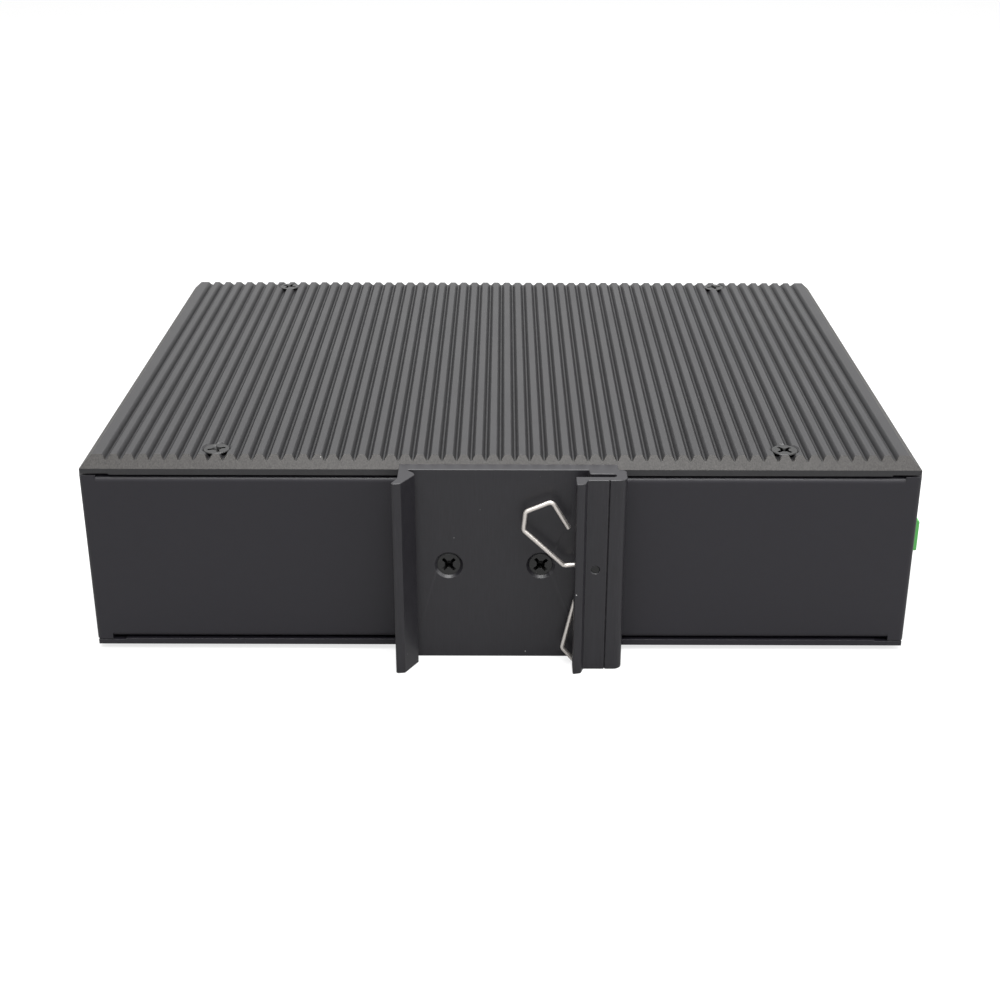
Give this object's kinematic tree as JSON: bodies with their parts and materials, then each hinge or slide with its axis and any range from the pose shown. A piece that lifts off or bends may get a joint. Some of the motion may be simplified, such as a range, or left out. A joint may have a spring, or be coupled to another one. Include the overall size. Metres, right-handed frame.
{
  "type": "din rail ethernet switch",
  "caption": "Slim metal switch case with a ribbed heat-sink cover, a rail clip with a swinging wire spring, network sockets in front and a plug-in power terminal on one end.",
  "frame": {"origin": "on the rail clip's seat face, at half the case's length and half its rear wall's height", "axes": "+X along the case to the end with the power plug, +Y from the rail to the socket panel, +Z the normal of the upper ribbed cover"},
  "size_m": [0.1739, 0.1358, 0.0425],
  "materials": {
    "case_sheet": "satin black powder coat",
    "cover_alloy": "dark grey anodised, satin",
    "clip_alloy": "black anodised, satin",
    "spring_wire": "bright drawn wire",
    "black_screw": "black oxide",
    "zinc_steel": "zinc plated",
    "terminal_green": "satin moulded plastic",
    "contact_metal": "plated contact",
    "board_laminate": "solder resist",
    "black_plastic": "moulded, matt",
    "pad_rubber": "soft pad",
    "bare_alloy": "milled",
    "shield_metal": "bright plated sheet",
    "light_lens": "clear moulded lens",
    "pale_plastic": "moulded, matt",
    "can_sleeve": "shrink sleeve"
  },
  "bodies": {
    "case": {"chassis": "case_sheet", "front_panel": "case_sheet", "upper_cover": "cover_alloy", "lower_cover": "case_sheet", "upper_cover_screws": "black_screw", "lower_cover_screws": "black_screw", "panel_screws": "black_screw", "clip_screws": "black_screw", "cover_nuts": "zinc_steel", "panel_nuts": "zinc_steel", "clip_nuts": "zinc_steel", "rail_clip": "clip_alloy", "spring_pin": "zinc_steel", "power_header": "terminal_green", "header_pins": "contact_metal", "ground_screw": "zinc_steel", "ground_washer": "zinc_steel", "ground_nut": "zinc_steel", "main_board": "board_laminate", "light_board": "board_laminate", "board_posts": "contact_metal", "board_screws": "zinc_steel", "switch_chip": "black_plastic", "thermal_pad": "pad_rubber", "heat_block": "bare_alloy", "phy_chips": "black_plastic", "memory_chip": "black_plastic", "clock_crystal": "shield_metal", "input_capacitors": "can_sleeve", "power_inductor": "black_plastic", "isolation_transformer": "pale_plastic", "alarm_relay": "pale_plastic", "port_housing": "black_plastic", "port_shield": "shield_metal", "port_contacts": "contact_metal", "sfp_cage": "shield_metal", "sfp_sockets": "black_plastic", "status_lenses": "light_lens", "status_leds": "pale_plastic"},
    "spring": {"clip_spring": "spring_wire"},
    "plug": {"power_plug": "terminal_green", "plug_screws": "zinc_steel", "plug_clamps": "zinc_steel"}
  },
  "joints": [
    {"name": "spring_swing", "type": "hinge", "parent": "case", "child": "spring", "pos_m": [0.01864, -0.00268, 0.0016], "axis": [0, -1, 0], "range_deg": [-43, 0]},
    {"name": "plug_pull", "type": "slide", "parent": "case", "child": "plug", "axis": [1, 0, 0], "range_m": [0, 0.012]}
  ]
}
